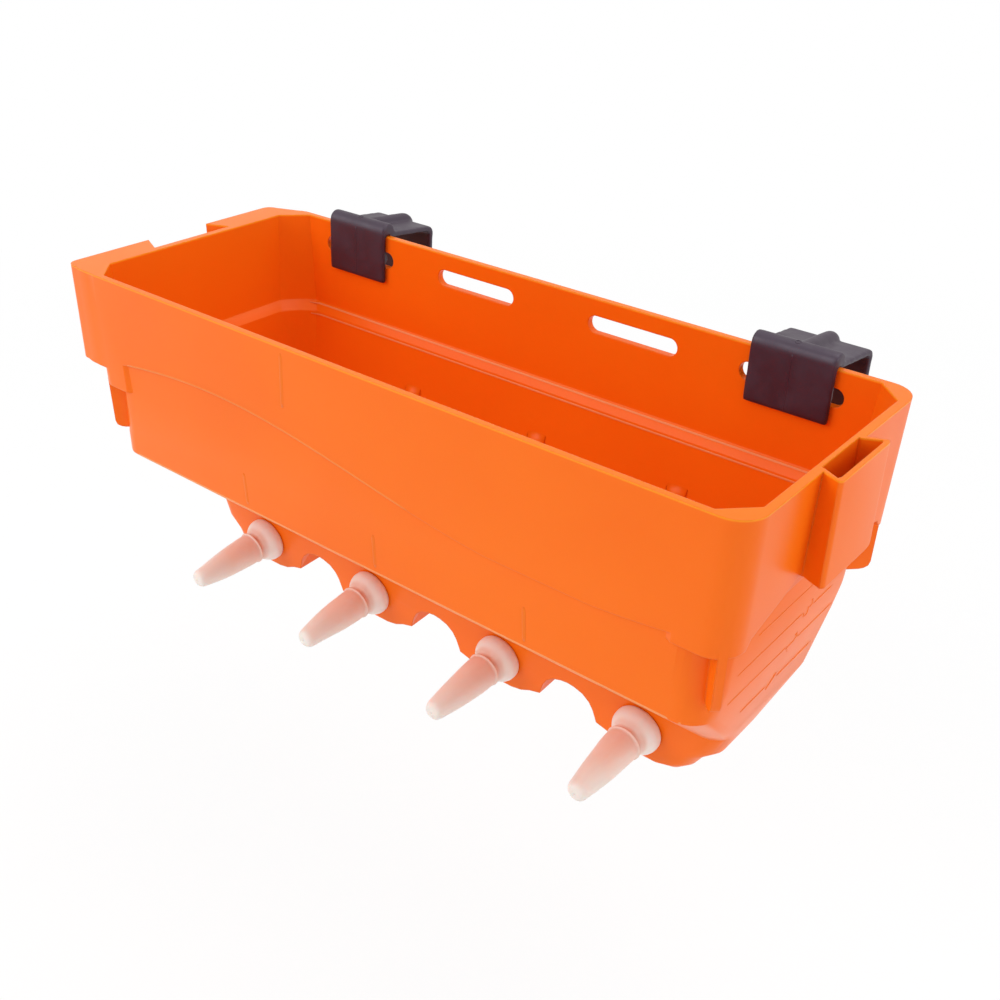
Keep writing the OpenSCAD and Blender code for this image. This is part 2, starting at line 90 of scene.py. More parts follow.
class Graph:
    """A small builder for one material's node tree."""

    def __init__(self, name: str) -> None:
        """Starts a material with a Principled shader.

        Args:
            name: Name of the material.
        """
        self.material = bpy.data.materials.new(name)
        self.material.use_nodes = True
        self.tree = self.material.node_tree
        self.shader = self.tree.nodes["Principled BSDF"]
        self.output = self.tree.nodes["Material Output"]

    def node(self, kind: str, options: Optional[dict] = None,
             **inputs: object) -> bpy.types.Node:
        """Adds a node.

        Args:
            kind: Blender's node type.
            options: Attributes set on the node itself.
            **inputs: Input values or sockets, by input name with spaces as underscores.

        Returns:
            The new node.
        """
        made = self.tree.nodes.new(kind)
        for key, value in (options or {}).items():
            setattr(made, key, value)
        for key, value in inputs.items():
            self.feed(made.inputs[key.replace("_", " ")], value)
        return made

    def surface(self, **inputs: object) -> None:
        """Sets or links the shader's inputs, by input name with spaces as underscores."""
        for key, value in inputs.items():
            self.feed(self.shader.inputs[key.replace("_", " ")], value)

    def feed(self, socket: bpy.types.NodeSocket, value: object) -> None:
        """Links a socket to another, or sets its value.

        Args:
            socket: Input that is fed.
            value: Another socket or a constant.
        """
        if isinstance(value, bpy.types.NodeSocket):
            self.tree.links.new(value, socket)
        else:
            socket.default_value = value

    def place(self) -> bpy.types.NodeSocket:
        """Object coordinates, which ride with the piece."""
        return self.node("ShaderNodeTexCoord").outputs["Object"]

    def noise(self, where: bpy.types.NodeSocket, scale: float, detail: float = 2.0,
              rough: float = 0.5) -> bpy.types.NodeSocket:
        """Adds a noise texture.

        Args:
            where: Coordinates it reads.
            scale: Waves per metre.
            detail: Octaves.
            rough: Strength of the finer octaves.

        Returns:
            Its grey value.
        """
        made = self.node("ShaderNodeTexNoise", Vector=where, Scale=scale, Detail=detail,
                         Roughness=rough)
        return made.outputs["Fac"]

    def span(self, value: bpy.types.NodeSocket, low: float, high: float,
             out_low: float = 0.0, out_high: float = 1.0) -> bpy.types.NodeSocket:
        """Maps a value smoothly from one range to another, clamped.

        Args:
            value: Socket that is mapped.
            low: Value that becomes out_low.
            high: Value that becomes out_high.
            out_low: Result at and below low.
            out_high: Result at and above high.

        Returns:
            The mapped value.
        """
        made = self.node("ShaderNodeMapRange", {"interpolation_type": "SMOOTHSTEP"},
                         Value=value, From_Min=low, From_Max=high, To_Min=out_low,
                         To_Max=out_high)
        return made.outputs["Result"]

    def maths(self, operation: str, a: object, b: object) -> bpy.types.NodeSocket:
        """Joins two values with a maths node.

        Args:
            operation: Blender's name of the operation.
            a: First value or socket.
            b: Second value or socket.

        Returns:
            The result.
        """
        made = self.node("ShaderNodeMath", {"operation": operation})
        self.feed(made.inputs[0], a)
        self.feed(made.inputs[1], b)
        return made.outputs[0]

    def blend(self, fac: object, a: object, b: object) -> bpy.types.NodeSocket:
        """Mixes two colours.

        Args:
            fac: Share of the second.
            a: First colour or socket.
            b: Second colour or socket.

        Returns:
            The mixed colour.
        """
        made = self.node("ShaderNodeMix", {"data_type": "RGBA"})
        self.feed(made.inputs[0], fac)
        for index, value in ((6, a), (7, b)):
            linked = isinstance(value, bpy.types.NodeSocket)
            self.feed(made.inputs[index], value if linked else (*value, 1.0))
        return made.outputs[2]

    def ramp(self, fac: bpy.types.NodeSocket,
             stops: Sequence[tuple[float, Colour]]) -> bpy.types.NodeSocket:
        """Adds a colour ramp.

        Args:
            fac: Place on the ramp.
            stops: Places and colours, in order.

        Returns:
            The colour.
        """
        made = self.node("ShaderNodeValToRGB", Fac=fac)
        made.color_ramp.interpolation = "EASE"
        bar = made.color_ramp.elements
        while len(bar) < len(stops):
            bar.new(0.5)
        for stop, (at, colour) in zip(bar, stops):
            stop.position = at
            stop.color = (*colour, 1.0)
        return made.outputs["Color"]

    def bump(self, height: bpy.types.NodeSocket, strength: float, distance: float,
             under: Optional[bpy.types.NodeSocket] = None) -> bpy.types.NodeSocket:
        """Adds a bump.

        Args:
            height: Grey value that gives the height.
            strength: Share of the effect.
            distance: Height in metres.
            under: Another bump's normal to build on.

        Returns:
            The bumped normal.
        """
        made = self.node("ShaderNodeBump", Strength=strength, Distance=distance, Height=height)
        if under is not None:
            self.feed(made.inputs["Normal"], under)
        return made.outputs["Normal"]


@dataclass(frozen=True)
class MouldedOrange:
    """Satin injection-moulded polypropylene, with a painted highlight just under the top of the
    rim.
    """

    body: Colour = (0.920, 0.164, 0.004)
    deep: Colour = (0.885, 0.142, 0.003)
    # colour of the painted highlight just under the rim top
    painted_edge_highlight: Colour = (0.950, 0.300, 0.012)
    rim_z: float = 3.656 * MM
    rounding: float = 1.1 * MM
    slot: Slot = Slot.TROUGH

    def material(self) -> bpy.types.Material:
        """Builds the plastic's material.

        Returns:
            The material, with its edges rounded in the shading where rounding is set.
        """
        g = Graph(self.slot.value)
        at = g.place()
        height = g.node("ShaderNodeSeparateXYZ", Vector=at).outputs["Z"]
        cloud = g.span(g.noise(at, scale=7.0), 0.25, 0.75)
        pigment = g.blend(cloud, self.body, self.deep)
        normal = g.node("ShaderNodeNewGeometry").outputs["True Normal"]
        facing = g.node("ShaderNodeSeparateXYZ", Vector=normal)
        # painted highlight: paler within 1.5 mm under the rim top, strongest on upright faces
        upright = g.span(g.maths("ABSOLUTE", facing.outputs["Z"], 0.0), 0.35, 0.9, 1.0, 0.22)
        near_rim = g.span(height, self.rim_z - 1.5 * MM, self.rim_z - 0.3 * MM)
        painted_rim_highlight = g.maths("MULTIPLY", near_rim, upright)
        g.surface(Base_Color=g.blend(painted_rim_highlight, pigment, self.painted_edge_highlight))
        rubbed = g.span(g.noise(at, scale=40.0), 0.2, 0.8, 0.0, 0.03)
        smear = g.span(g.noise(at, scale=5.0), 0.25, 0.75, 0.27, 0.33)
        g.surface(Roughness=g.maths("ADD", smear, rubbed))
        soft = None
        if self.rounding > 0.0:
            bevel = g.node("ShaderNodeBevel", {"samples": 6}, Radius=self.rounding)
            soft = bevel.outputs["Normal"]
        flow = g.bump(g.noise(at, scale=12.0, detail=1.0), 0.20, 1.2 * MM, soft)
        g.surface(Normal=g.bump(g.noise(at, scale=1500.0), 0.08, 0.04 * MM, flow),
                  IOR=1.49,
                  Specular_IOR_Level=0.18,
                  Subsurface_Weight=0.12,
                  Subsurface_Radius=(1.0, 0.22, 0.03),
                  Subsurface_Scale=3.0 * MM)
        return g.material


@dataclass(frozen=True)
class PinkRubber:
    """Milky latex: whiter in the flange, warmer at the neck, clearer towards the tip."""

    tip_y: float = -202.4 * MM
    root_y: float = -127.3 * MM
    # share of the way from the tip to the root, and the colour there
    tones: tuple[tuple[float, Colour], ...] = (
        (0.00, (0.82, 0.74, 0.68)), (0.10, (0.82, 0.72, 0.65)), (0.30, (0.83, 0.66, 0.57)),
        (0.62, (0.82, 0.61, 0.52)), (0.74, (0.79, 0.55, 0.46)), (0.785, (0.79, 0.55, 0.46)),
        (0.83, (0.84, 0.76, 0.71)), (1.00, (0.86, 0.81, 0.78)))
    milk: Colour = (0.84, 0.73, 0.67)
    slot: Slot = Slot.TEAT

    def material(self) -> bpy.types.Material:
        """Builds the rubber's material.

        Returns:
            The material.
        """
        g = Graph(self.slot.value)
        at = g.place()
        along = g.span(g.node("ShaderNodeSeparateXYZ", Vector=at).outputs["Y"],
                       self.tip_y, self.root_y)
        tone = g.ramp(along, self.tones)
        mottle = g.span(g.noise(at, scale=55.0, detail=3.0, rough=0.55), 0.38, 0.66)
        g.surface(Base_Color=g.blend(g.maths("MULTIPLY", mottle, 0.6), tone, self.milk))
        g.surface(Roughness=g.span(g.noise(at, scale=240.0, detail=3.0), 0.3, 0.7, 0.42, 0.56))
        lumps = g.bump(g.noise(at, scale=150.0), 0.20, 0.5 * MM)
        g.surface(Normal=g.bump(g.noise(at, scale=1300.0), 0.22, 0.06 * MM, lumps),
                  IOR=1.45,
                  Subsurface_Weight=0.40,
                  Subsurface_Radius=(1.0, 0.55, 0.42),
                  Subsurface_Scale=2.5 * MM)
        return g.material


@dataclass(frozen=True)
class DarkNylon:
    """Purple-black nylon with a finely eroded skin and slightly greyer patches."""

    body: Colour = (0.020, 0.005, 0.016)
    grey: Colour = (0.027, 0.011, 0.025)
    slot: Slot = Slot.HOOK

    def material(self) -> bpy.types.Material:
        """Builds the nylon's material.

        Returns:
            The material.
        """
        g = Graph(self.slot.value)
        at = g.place()
        patch = g.span(g.noise(at, scale=45.0, detail=5.0, rough=0.6), 0.40, 0.70)
        g.surface(Base_Color=g.blend(patch, self.body, self.grey))
        g.surface(Roughness=g.span(g.noise(at, scale=90.0, detail=4.0), 0.3, 0.7, 0.44, 0.56))
        skin = g.bump(g.noise(at, scale=900.0, detail=3.0), 0.30, 0.10 * MM)
        g.surface(Normal=g.bump(g.noise(at, scale=40.0, detail=1.0), 0.20, 0.8 * MM, skin),
                  IOR=1.55,
                  Specular_IOR_Level=0.62,
                  Specular_Tint=(0.92, 0.88, 1.0, 1.0))
        return g.material


@dataclass(frozen=True)
class PaperFloor:
    """White studio paper: the camera sees it near white, with a faint shadow left in it."""

    tint: Colour = (0.93, 0.93, 0.93)
    wash: float = 0.86
    near: float = 0.5
    far: float = 1.6

    def material(self) -> bpy.types.Material:
        """Builds the paper's material.

        Returns:
            The material.
        """
        g = Graph("studio_paper")
        rays = g.node("ShaderNodeLightPath")
        seen = g.maths("MAXIMUM", rays.outputs["Is Camera Ray"], rays.outputs["Is Glossy Ray"])
        seen = g.maths("MAXIMUM", seen, rays.outputs["Is Transmission Ray"])
        white = g.node("ShaderNodeEmission", Color=WHITE, Strength=1.0)
        fibre = g.span(g.noise(g.place(), scale=30.0, detail=4.0), 0.3, 0.7)
        darker = tuple(0.985 * c for c in self.tint)
        g.surface(Base_Color=g.blend(fibre, self.tint, darker), Roughness=0.9)
        mix = g.node("ShaderNodeMixShader")
        reach = g.node("ShaderNodeVectorMath", {"operation": "LENGTH"}, Vector=g.place())
        washed = g.span(reach.outputs["Value"], self.near, self.far, self.wash, 1.0)
        g.feed(mix.inputs[0], g.maths("MULTIPLY", seen, washed))
        g.feed(mix.inputs[1], g.shader.outputs[0])
        g.feed(mix.inputs[2], white.outputs[0])
        g.feed(g.output.inputs["Surface"], mix.outputs[0])
        return g.material


class SoftShading:
    """Modifier that welds a CAD skin and shades it smooth except over sharp edges."""

    def __init__(self, degrees: float) -> None:
        """Builds the shared node group.

        Args:
            degrees: Edges bent further than this stay sharp.
        """
        tree = bpy.data.node_groups.new(f"weld_and_shade_{int(degrees)}", "GeometryNodeTree")
        for way in ("INPUT", "OUTPUT"):
            tree.interface.new_socket("Geometry", in_out=way, socket_type="NodeSocketGeometry")
        add = tree.nodes.new
        start = add("NodeGroupInput")
        plain = add("GeometryNodeRemoveAttribute")
        plain.inputs["Name"].default_value = "custom_normal"
        weld = add("GeometryNodeMergeByDistance")
        weld.inputs["Distance"].default_value = 0.01 * MM
        faces = add("GeometryNodeSetShadeSmooth")
        faces.inputs["Shade Smooth"].default_value = True
        edges = add("GeometryNodeSetShadeSmooth")
        edges.domain = "EDGE"
        bend = add("GeometryNodeInputMeshEdgeAngle")
        gentle = add("FunctionNodeCompare")
        gentle.data_type = "FLOAT"
        gentle.operation = "LESS_THAN"
        gentle.inputs[1].default_value = math.radians(degrees)
        end = add("NodeGroupOutput")
        link = tree.links.new
        link(start.outputs[0], plain.inputs[0])
        link(plain.outputs[0], weld.inputs[0])
        link(weld.outputs[0], faces.inputs[0])
        link(faces.outputs[0], edges.inputs[0])
        link(bend.outputs["Unsigned Angle"], gentle.inputs[0])
        link(gentle.outputs[0], edges.inputs["Shade Smooth"])
        link(edges.outputs[0], end.inputs[0])
        self.tree = tree

    def on(self, obj: bpy.types.Object) -> None:
        """Puts the modifier on a piece."""
        made = obj.modifiers.new("weld_and_shade", "NODES")
        made.node_group = self.tree


class Skin:
    """The surface of a CAD node, for laying fine detail on it."""

    def __init__(self, node: str) -> None:
        """Reads the node's mesh.

        Args:
            node: Name of the CAD node.
        """
        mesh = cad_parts[node].data
        corners = [v.co.copy() for v in mesh.vertices]
        self.tree = BVHTree.FromPolygons(corners, [tuple(p.vertices) for p in mesh.polygons])

    def under(self, start: Vector, way: Vector) -> Optional[Station]:
        """First surface point from a start along a direction.

        Args:
            start: Where the line begins.
            way: Its direction.

        Returns:
            The point and the normal that faces the start, or None.
        """
        spot, normal, _, _ = self.tree.ray_cast(start, way)
        if spot is None:
            return None
        return spot, (normal if normal.dot(way) < 0 else -normal)


def met(path: Iterable[Optional[Station]]) -> list[Station]:
    """The points of a path that met the surface."""
    return [station for station in path if station is not None]


def evenly(start: float, end: float, step: float) -> list[float]:
    """Places from start to end, about a step apart."""
    count = int((end - start) / step)
    return [start + (end - start) * k / count for k in range(count + 1)]


def bridge(mesh: bmesh.types.BMesh, rings: Sequence[Sequence[bmesh.types.BMVert]]) -> None:
    """Joins each ring of vertices to the next with a band of quads.

    Args:
        mesh: Mesh it goes into.
        rings: Rings with the same number of vertices, in order.
    """
    for a, b in zip(rings, rings[1:]):
        count = len(a)
        for k in range(count):
            mesh.faces.new((a[k], a[(k + 1) % count], b[(k + 1) % count], b[k]))


def close_ends(mesh: bmesh.types.BMesh, rings: Sequence[Sequence[bmesh.types.BMVert]]) -> None:
    """Closes a tube of rings with a face at each end."""
    mesh.faces.new(rings[0])
    mesh.faces.new(list(reversed(rings[-1])))


def new_piece(name: str, mesh: bmesh.types.BMesh,
              finish: bpy.types.Material) -> bpy.types.Object:
    """Turns a finished mesh into a smooth-shaded object of the scene.

    Args:
        name: Name of the piece and of its mesh.
        mesh: Mesh under construction, which is freed here.
        finish: Its material.

    Returns:
        The new piece.
    """
    bmesh.ops.recalc_face_normals(mesh, faces=mesh.faces)
    data = bpy.data.meshes.new(name)
    mesh.to_mesh(data)
    mesh.free()
    for face in data.polygons:
        face.use_smooth = True
    made = bpy.data.objects.new(name, data)
    bpy.context.scene.collection.objects.link(made)
    data.materials.append(finish)
    return made


@dataclass
class Bead:
    """A fine raised line with a rounded top, laid on a surface."""

    name: str
    width: float
    proud: float
    slot: Slot
    # cross-section: shares of the width and of the height, sunk in at both feet
    profile: Stroke = ((-0.5, -0.6), (-0.5, 0.05), (-0.33, 0.62), (-0.12, 0.96),
                       (0.12, 0.96), (0.33, 0.62), (0.5, 0.05), (0.5, -0.6))
    end_taper: float = 0.45

    def build(self, paths: Sequence[Sequence[Station]], body: str,
              finish: bpy.types.Material) -> bpy.types.Object:
        """Makes the bead as one mesh of closed strips.

        Args:
            paths: Each strip's points and surface normals.
            body: CAD body that it rides on.
            finish: Its material.

        Returns:
            The new piece.
        """
        mesh = bmesh.new()
        for path in paths:
            self._strip(mesh, path)
        made = new_piece(self.name, mesh, finish)
        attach(made, body)
        log.info("%s laid", self.name)
        return made

    def _strip(self, mesh: bmesh.types.BMesh, path: Sequence[Station]) -> None:
        """Adds one closed strip to the mesh.

        Args:
            mesh: Mesh it goes into.
            path: Its points and surface normals.
        """
        rings = []
        last = len(path) - 1
        for k, (spot, normal) in enumerate(path):
            ahead = path[min(k + 1, last)][0] - path[max(k - 1, 0)][0]
            across = ahead.normalized().cross(normal).normalized()
            taper = self.end_taper if k in (0, last) else 1.0
            rings.append([
                mesh.verts.new(spot + across * (u * self.width * taper)
                               + normal * (h * self.proud * taper))
                for u, h in self.profile])
        bridge(mesh, rings)
        close_ends(mesh, rings)


def smooth_path(points: Stroke, steps: int) -> list[tuple[float, float]]:
    """Rounds a drawn stroke with a Catmull-Rom curve.

    Args:
        points: Corners of the stroke.
        steps: Points on each stretch.

    Returns:
        The rounded stroke.
    """
    ring = [points[0], *points, points[-1]]
    out = []
    for a, b, c, d in zip(ring, ring[1:], ring[2:], ring[3:]):
        for k in range(steps):
            t = k / steps
            out.append(tuple(
                0.5 * (2 * q + (r - p) * t + (2 * p - 5 * q + 4 * r - s) * t * t
                       + (3 * q - p - 3 * r + s) * t ** 3)
                for p, q, r, s in zip(a, b, c, d)))
    out.append(points[-1])
    return out


def drawn(x: float, y: float, z: float) -> Vector:
    """A point of the fitted drawing, in millimetres, moved into the shared frame."""
    return Vector((x, y, z)) * MM + RAIL_SHIFT


@dataclass
class Trough:
    """The moulded trough with level marks, mould lines, beads with painted highlights, ridge
    tips.

    Places, levels and the numerals' size are millimetres of the fitted drawing. The widths
    and heights of the beads are metres.
    """

    finish: bpy.types.Material
    marks: bpy.types.Material
    # finish of the beads whose paler colour is a painted highlight on the belly crease and
    # ledge
    wear_and_painted_highlight: bpy.types.Material
    lit: bpy.types.Material
    shading: SoftShading
    # where the lines that look for the surface start: beside, before, inside and above it
    beside_x: float = 320.0
    before_y: float = -260.0
    inside_y: float = -70.0
    above_z: float = -40.0
    line_w: float = 1.1 * MM
    line_h: float = 0.28 * MM
    line_step: float = 3.0
    # height, both ends and the numeral's place of each level line
    levels: tuple[tuple[float, float, float, Optional[float]], ...] = (
        (-86.0, -134.0, -44.0, None), (-102.5, -149.0, -44.0, -73.5),
        (-119.5, -152.0, -36.0, -83.5), (-139.5, -130.0, -50.0, -97.0))
    # strokes of the numerals 3, 2 and 1 in a box of size 1
    numerals: tuple[Stroke, ...] = (
        ((0.05, 0.88), (0.45, 1.0), (0.80, 0.80), (0.66, 0.58), (0.34, 0.52), (0.70, 0.46),
         (0.88, 0.22), (0.50, 0.0), (0.05, 0.12)),
        ((0.08, 0.78), (0.34, 1.0), (0.74, 0.88), (0.76, 0.60), (0.42, 0.32), (0.06, 0.0),
         (0.50, 0.02), (0.92, 0.0)),
        ((0.20, 0.76), (0.50, 1.0), (0.50, 0.66), (0.50, 0.33), (0.50, 0.0)))
    numeral_w: float = 5.5
    numeral_h: float = 11.0
    gap_before: float = 5.5
    gap_after: float = 6.0
    # start, and run to the end, of the mould line on the band: x and height
    upper_start: tuple[float, float] = (-53.2, -4.0)
    upper_run: tuple[float, float] = (-1.9, -34.0)
    # x of each mould line under the band, their top, and the run of each step
    mould_x: tuple[float, ...] = (-99.0, 11.0, 119.5)
    lower_top: float = -97.5
    lower_step: tuple[float, float] = (0.06, -2.0)
    mould_steps: int = 12
    mould_w: float = 2.4 * MM
    mould_h: float = 0.04 * MM
    wave_x: float = 122.0
    wave_z: float = 63.2
    wave_l: float = 250.0
    wave_a: float = 14.0
    band_w: float = 1.0 * MM
    band_h: float = 0.12 * MM
    band_lift: float = 0.7
    # start, end and step
    band_span: tuple[float, float, float] = (-203.0, 40.0, 6.0)
    # size of the beads that carry the painted highlights
    highlight_bead_w: float = 1.3 * MM
    highlight_bead_h: float = 0.16 * MM
    belly_z: float = 123.5
    belly_lift: float = 0.5
    belly_span: tuple[float, float, float] = (-224.0, 224.0, 8.0)
    # height, and start, end and step, of the two edges of the inner ledge
    ledge: tuple[tuple[float, tuple[float, float, float]], ...] = (
        (-64.4, (-218.0, 222.0, 8.0)), (-71.2, (-214.0, 219.0, 8.0)))
    ridge_x: tuple[float, ...] = (-109.0, 2.0, 111.0)
    # drawn y, top and half width of a ridge's end
    spur: tuple[tuple[float, float, float], ...] = (
        (-28.0, -120.5, 2.5), (-22.0, -111.0, 2.5), (-18.0, -104.0, 2.6), (-15.5, -101.5, 3.4),
        (-14.0, -100.6, 6.5), (-12.0, -100.4, 7.0), (-9.0, -101.5, 5.5))
    # cross-section of a spur: shares of its half width, and millimetres below its top
    spur_profile: Stroke = ((-1.1, -9.0), (-1.0, -2.2), (-0.55, -0.35), (0.0, 0.0),
                            (0.55, -0.35), (1.0, -2.2), (1.1, -9.0))

    def __post_init__(self) -> None:
        """Reads the trough's surface."""
        self.skin = Skin("trough")

    def dress(self) -> None:
        """Gives the CAD trough its shading and its plastic."""
        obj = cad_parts["trough"]
        self.shading.on(obj)
        obj.data.materials.clear()
        obj.data.materials.append(self.finish)
        log.info("trough dressed")

    def _end(self, y: float, z: float) -> Optional[Station]:
        """Point of the right end wall at a drawn y and z."""
        return self.skin.under(drawn(self.beside_x, y, z), Vector((-1.0, 0.0, 0.0)))

    def _front(self, x: float, z: float) -> Optional[Station]:
        """Point of the front at a drawn x and z."""
        return self.skin.under(drawn(x, self.before_y, z), Vector((0.0, 1.0, 0.0)))

    def _inside(self, x: float, z: float) -> Optional[Station]:
        """Point of the inner back wall at a drawn x and z."""
        return self.skin.under(drawn(x, self.inside_y, z), Vector((0.0, 1.0, 0.0)))

    def level_marks(self) -> bpy.types.Object:
        """Adds the four level lines and their plain numerals 3, 2 and 1 to the right end.

        Returns:
            The new piece.
        """
        up = Vector((0.80, 0.60))
        side = Vector((0.60, -0.80))
        paths = []
        glyphs = iter(self.numerals)
        for z, y0, y1, gap in self.levels:
            stretches = [(y0, y1)]
            if gap is not None:
                stretches = [(y0, gap - self.gap_before), (gap + self.gap_after, y1)]
            for a, b in stretches:
                count = max(4, int(abs(b - a) / self.line_step))
                paths.append([self._end(a + (b - a) * k / count, z) for k in range(count + 1)])
            if gap is not None:
                spots = [Vector((gap, z)) + side * (u - 0.5) * self.numeral_w
                         + up * (v - 0.5) * self.numeral_h
                         for u, v in smooth_path(next(glyphs), steps=5)]
                paths.append([self._end(p.x, p.y) for p in spots])
        bead = Bead("level_marks", self.line_w, self.line_h, Slot.TROUGH)
        return bead.build([met(path) for path in paths], "trough", self.marks)

    def mould_lines(self) -> bpy.types.Object:
        """Adds the faint upright witness lines of the mould to the front.

        Returns:
            The new piece.
        """
        (x0, z0), (dx, dz), steps = self.upper_start, self.upper_run, self.mould_steps
        paths = [[self._front(x0 + dx * k / steps, z0 + dz * k / steps)
                  for k in range(steps + 1)]]
        dx, dz = self.lower_step
        for x in self.mould_x:
            paths.append([self._front(x + dx * k, self.lower_top + dz * k)
                          for k in range(steps)])
        bead = Bead("mould_lines", self.mould_w, self.mould_h, Slot.TROUGH)
        return bead.build([met(path) for path in paths], "trough", self.marks)

    def _wave(self, x: float) -> float:
        """Height of the band's lower edge at a drawn x."""
        return -self.wave_z + self.wave_a * math.cos(math.pi * (x + self.wave_x) / self.wave_l)

    def band_edge(self) -> bpy.types.Object:
        """Adds a painted highlight: a paler line on the left part of the band's waved border.

        Returns:
            The new piece.
        """
        painted_edge_highlight = met(self._front(x, self._wave(x) + self.band_lift)
                   for x in evenly(*self.band_span))
        bead = Bead("band_edge", self.band_w, self.band_h, Slot.TROUGH)
        return bead.build([painted_edge_highlight], "trough", self.lit)

    def painted_highlight_edges(self) -> bpy.types.Object:
        """Adds painted highlights as paler beads on the belly crease and both edges of the
        ledge.

        Returns:
            The new piece.
        """
        crease = -self.belly_z + self.belly_lift
        paths = [[self._front(x, crease) for x in evenly(*self.belly_span)]]
        for z, span in self.ledge:
            paths.append([self._inside(x, z) for x in evenly(*span)])
        bead = Bead("painted_highlight_edges", self.highlight_bead_w, self.highlight_bead_h, Slot.TROUGH)
        return bead.build([met(path) for path in paths], "trough", self.wear_and_painted_highlight)

    def _on_ridge(self, x: float, y: float, z: float) -> Vector:
        """A drawn point, lifted where it would go over a millimetre under the inner skin.

        Args:
            x: Drawn x.
            y: Drawn y.
            z: Drawn height.

        Returns:
            The point in the shared frame.
        """
        spot = drawn(x, y, z)
        found = self.skin.under(drawn(x, y, self.above_z), Vector((0.0, 0.0, -1.0)))
        if found is not None:
            spot.z = max(spot.z, found[0].z - MM)
        return spot

    def ridge_tips(self) -> bpy.types.Object:
        """Adds the small spurs where the three ridges end on the back slope.

        Returns:
            The new piece.
        """
        mesh = bmesh.new()
        for x in self.ridge_x:
            rings = [[mesh.verts.new(self._on_ridge(x + u * half, y, top + v))
                      for u, v in self.spur_profile]
                     for y, top, half in self.spur]
            bridge(mesh, rings)
            close_ends(mesh, rings)
        made = new_piece("ridge_tips", mesh, self.marks)
        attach(made, "trough")
        log.info("ridge_tips set")
        return made


@dataclass
class Hook:
    """One slot-in hook with its parting line and gate mark."""

    side: Side
    finish: bpy.types.Material
    shading: SoftShading
    grid: float = 0.95 * MM
    rounding: int = 14
    line_w: float = 0.7 * MM
    line_h: float = 0.12 * MM
    line_start: float = 6.0 * MM
    line_foot_z: float = -27.0 * MM
    gate_r: float = 1.5 * MM
    gate_in: float = 7.0 * MM
    line_steps: int = 19
    gate_steps: int = 24

    def dress(self) -> None:
        """Gives the CAD hook its rounded edges, its shading and its plastic."""
        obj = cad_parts[self.side.body]
        self.shading.on(obj)
        grid = obj.modifiers.new("even_skin", "REMESH")
        grid.mode = "VOXEL"
        grid.voxel_size = self.grid
        grid.use_smooth_shade = True
        wear_and_painted_highlight = obj.modifiers.new("rounded_edges", "SMOOTH")
        wear_and_painted_highlight.factor = 0.5
        wear_and_painted_highlight.iterations = self.rounding
        obj.data.materials.clear()
        obj.data.materials.append(self.finish)
        log.info("%s dressed", self.side.body)

    def parting_line(self) -> bpy.types.Object:
        """Adds the fine upright line down the middle of the plate, and the gate's round scar.

        Returns:
            The new piece.
        """
        skin = Skin(self.side.body)
        x = self.side.value
        low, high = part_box(self.side.body)
        top = high.z - self.line_start
        heights = [top - (top - self.line_foot_z) * k / self.line_steps
                   for k in range(self.line_steps + 1)]
        plate = met(skin.under(Vector((x, low.y - 0.05, z)), Vector((0.0, 1.0, 0.0)))
                    for z in heights)
        turns = [math.tau * k / self.gate_steps for k in range(self.gate_steps + 1)]
        scar = met(skin.under(Vector((x + self.gate_r * math.cos(a),
                                      low.y + self.gate_in + self.gate_r * math.sin(a), 0.1)),
                              Vector((0.0, 0.0, -1.0)))
                   for a in turns)
        bead = Bead(f"{self.side.body}_parting_line", self.line_w, self.line_h, Slot.HOOK)
        return bead.build([plate, scar], self.side.body, self.finish)


